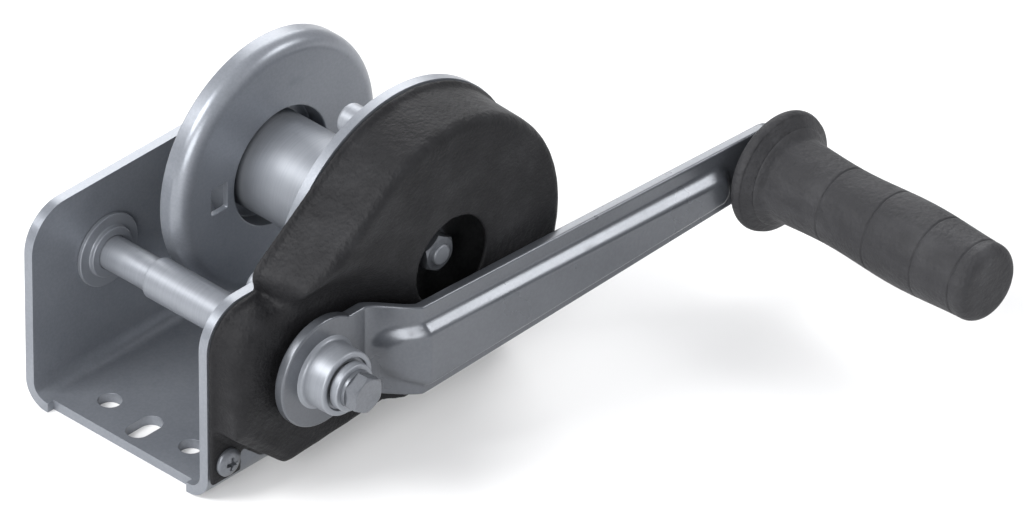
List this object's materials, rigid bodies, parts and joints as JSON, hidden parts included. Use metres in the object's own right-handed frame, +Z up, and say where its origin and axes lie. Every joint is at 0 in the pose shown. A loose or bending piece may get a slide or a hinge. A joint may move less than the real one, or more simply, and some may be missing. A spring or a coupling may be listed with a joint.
{
  "type": "hand cable winch",
  "caption": "Hand cable winch with a bent steel frame, a rope drum driven by a covered gear pair, and a cranked handle with a turning grip.",
  "frame": {"origin": "middle of the underside of the base", "axes": "+Z up from the base, +X to the back of the base and along the crank arm at rest, +Y to the side away from the crank"},
  "size_m": [0.269, 0.2484, 0.13],
  "materials": {
    "plated_sheet": "satin zinc-plated sheet steel",
    "turned_steel": "plated turned steel",
    "fastener_steel": "bright plated fastener",
    "gear_steel": "dark oiled steel",
    "moulded_black": "lightly grained moulding",
    "soft_black": "matt soft-touch moulding"
  },
  "bodies": {
    "winch_frame": {"frame": "plated_sheet", "shaft_bushing_far": "turned_steel", "shaft_bushing_near": "turned_steel", "pawl_stud": "turned_steel", "guard_stud": "turned_steel", "drum_axle": "turned_steel", "axle_spacer": "turned_steel", "axle_washer": "fastener_steel", "axle_nut": "fastener_steel", "gear_cover": "moulded_black", "cover_screw_front": "fastener_steel", "cover_screw_back": "fastener_steel"},
    "winding_drum": {"drum_flange": "plated_sheet", "drum_core": "turned_steel", "drum_disc": "plated_sheet", "drum_gear": "gear_steel"},
    "hand_crank": {"crank_shaft": "turned_steel", "shaft_circlip": "gear_steel", "shaft_sleeve": "turned_steel", "pinion": "gear_steel", "crank_arm": "plated_sheet", "crank_hub": "turned_steel", "hub_ring": "turned_steel", "spring_washer": "gear_steel", "crank_bolt": "fastener_steel", "grip_pin": "turned_steel", "grip_washer": "fastener_steel"},
    "turning_grip": {"grip": "soft_black"}
  },
  "joints": [
    {"name": "drum_spin", "type": "hinge", "parent": "winch_frame", "child": "winding_drum", "pos_m": [0.02139, 0, 0.07103], "axis": [0, 1, 0], "continuous": true},
    {"name": "crank_spin", "type": "hinge", "parent": "winch_frame", "child": "hand_crank", "pos_m": [-0.038, 0, 0.05], "axis": [0, 1, 0], "continuous": true},
    {"name": "grip_spin", "type": "hinge", "parent": "hand_crank", "child": "turning_grip", "pos_m": [0.171, -0.13, 0.045], "axis": [0, 1, 0], "continuous": true}
  ],
  "couplings": [
    {"joint": "crank_spin", "follows": "drum_spin", "ratio": -3.5}
  ]
}
